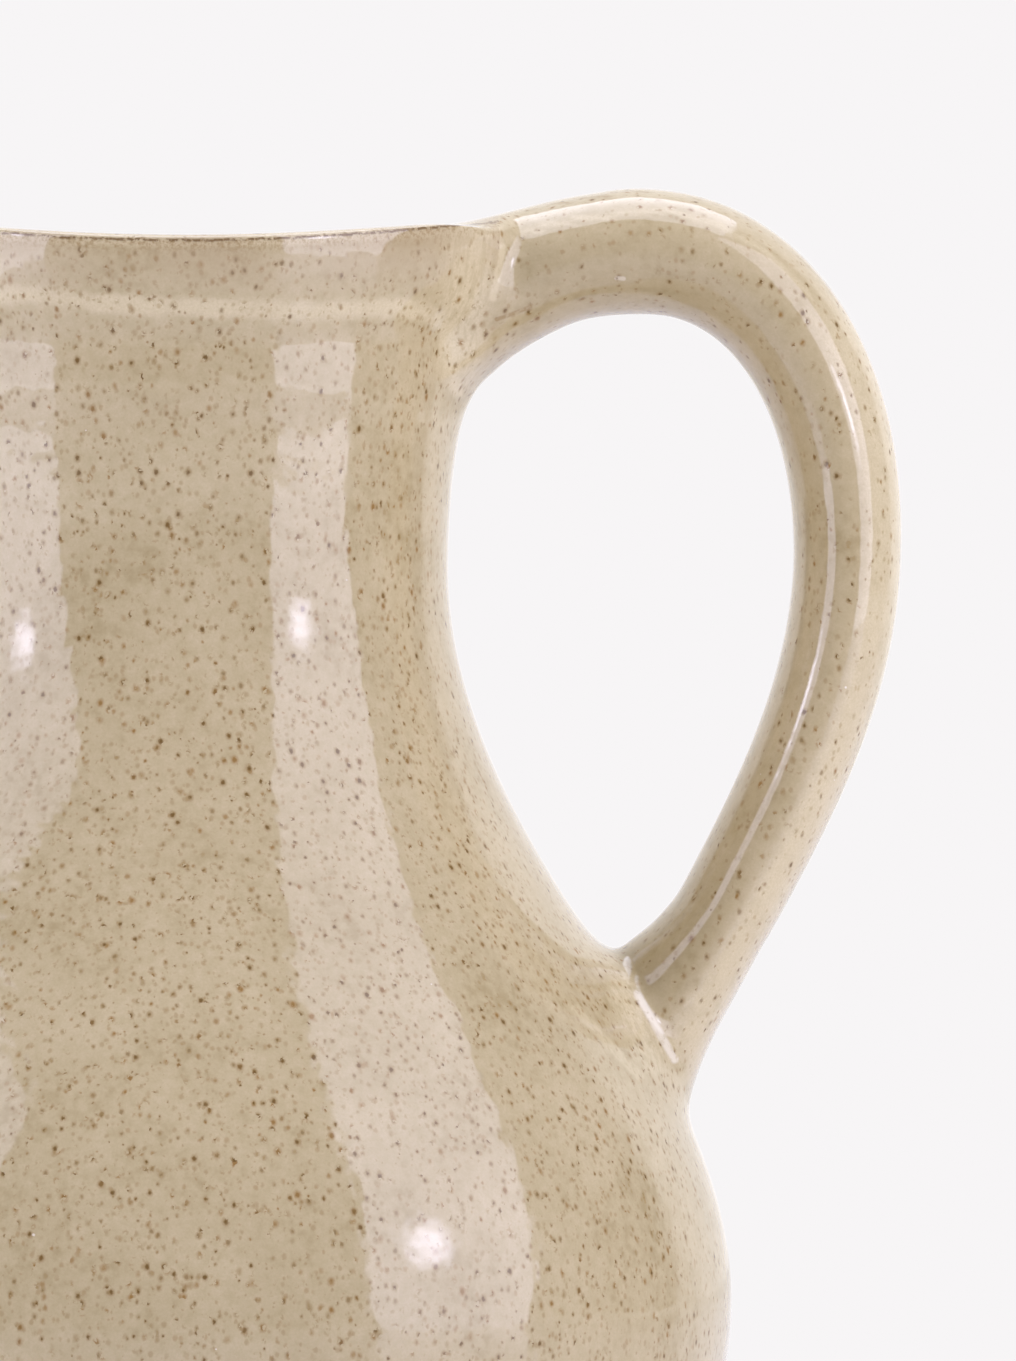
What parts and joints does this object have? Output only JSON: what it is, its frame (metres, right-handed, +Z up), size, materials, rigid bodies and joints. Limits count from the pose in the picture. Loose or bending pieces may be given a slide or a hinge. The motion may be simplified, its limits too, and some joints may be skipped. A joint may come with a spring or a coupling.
{
  "type": "stoneware crock jug",
  "caption": "Round-bellied thrown stoneware jug with a slim neck, rolled collar, dipped rim with a pulled pouring lip and a tall strap handle, in speckled beige glaze.",
  "frame": {"origin": "middle of the foot, on the axis that the jug was thrown round, in the plane that it stands on", "axes": "+Z up along the throwing axis, +X towards the handle, -X towards the pouring lip"},
  "size_m": [0.1733, 0.1504, 0.2061],
  "materials": {
    "clay": "bare fired stoneware, fine grit",
    "luting_clay": "bare fired stoneware, smoothed by finger",
    "speckled_glaze": "glossy greenish beige glaze with brown iron specks",
    "liner_glaze": "glossy beige liner glaze with few specks"
  },
  "bodies": {
    "root": {"thrown_body": "clay", "pulled_handle": "clay", "upper_luting_clay": "luting_clay", "lower_luting_clay": "luting_clay", "outer_glaze": "speckled_glaze", "handle_glaze": "speckled_glaze", "liner_glaze": "liner_glaze"}
  },
  "joints": []
}
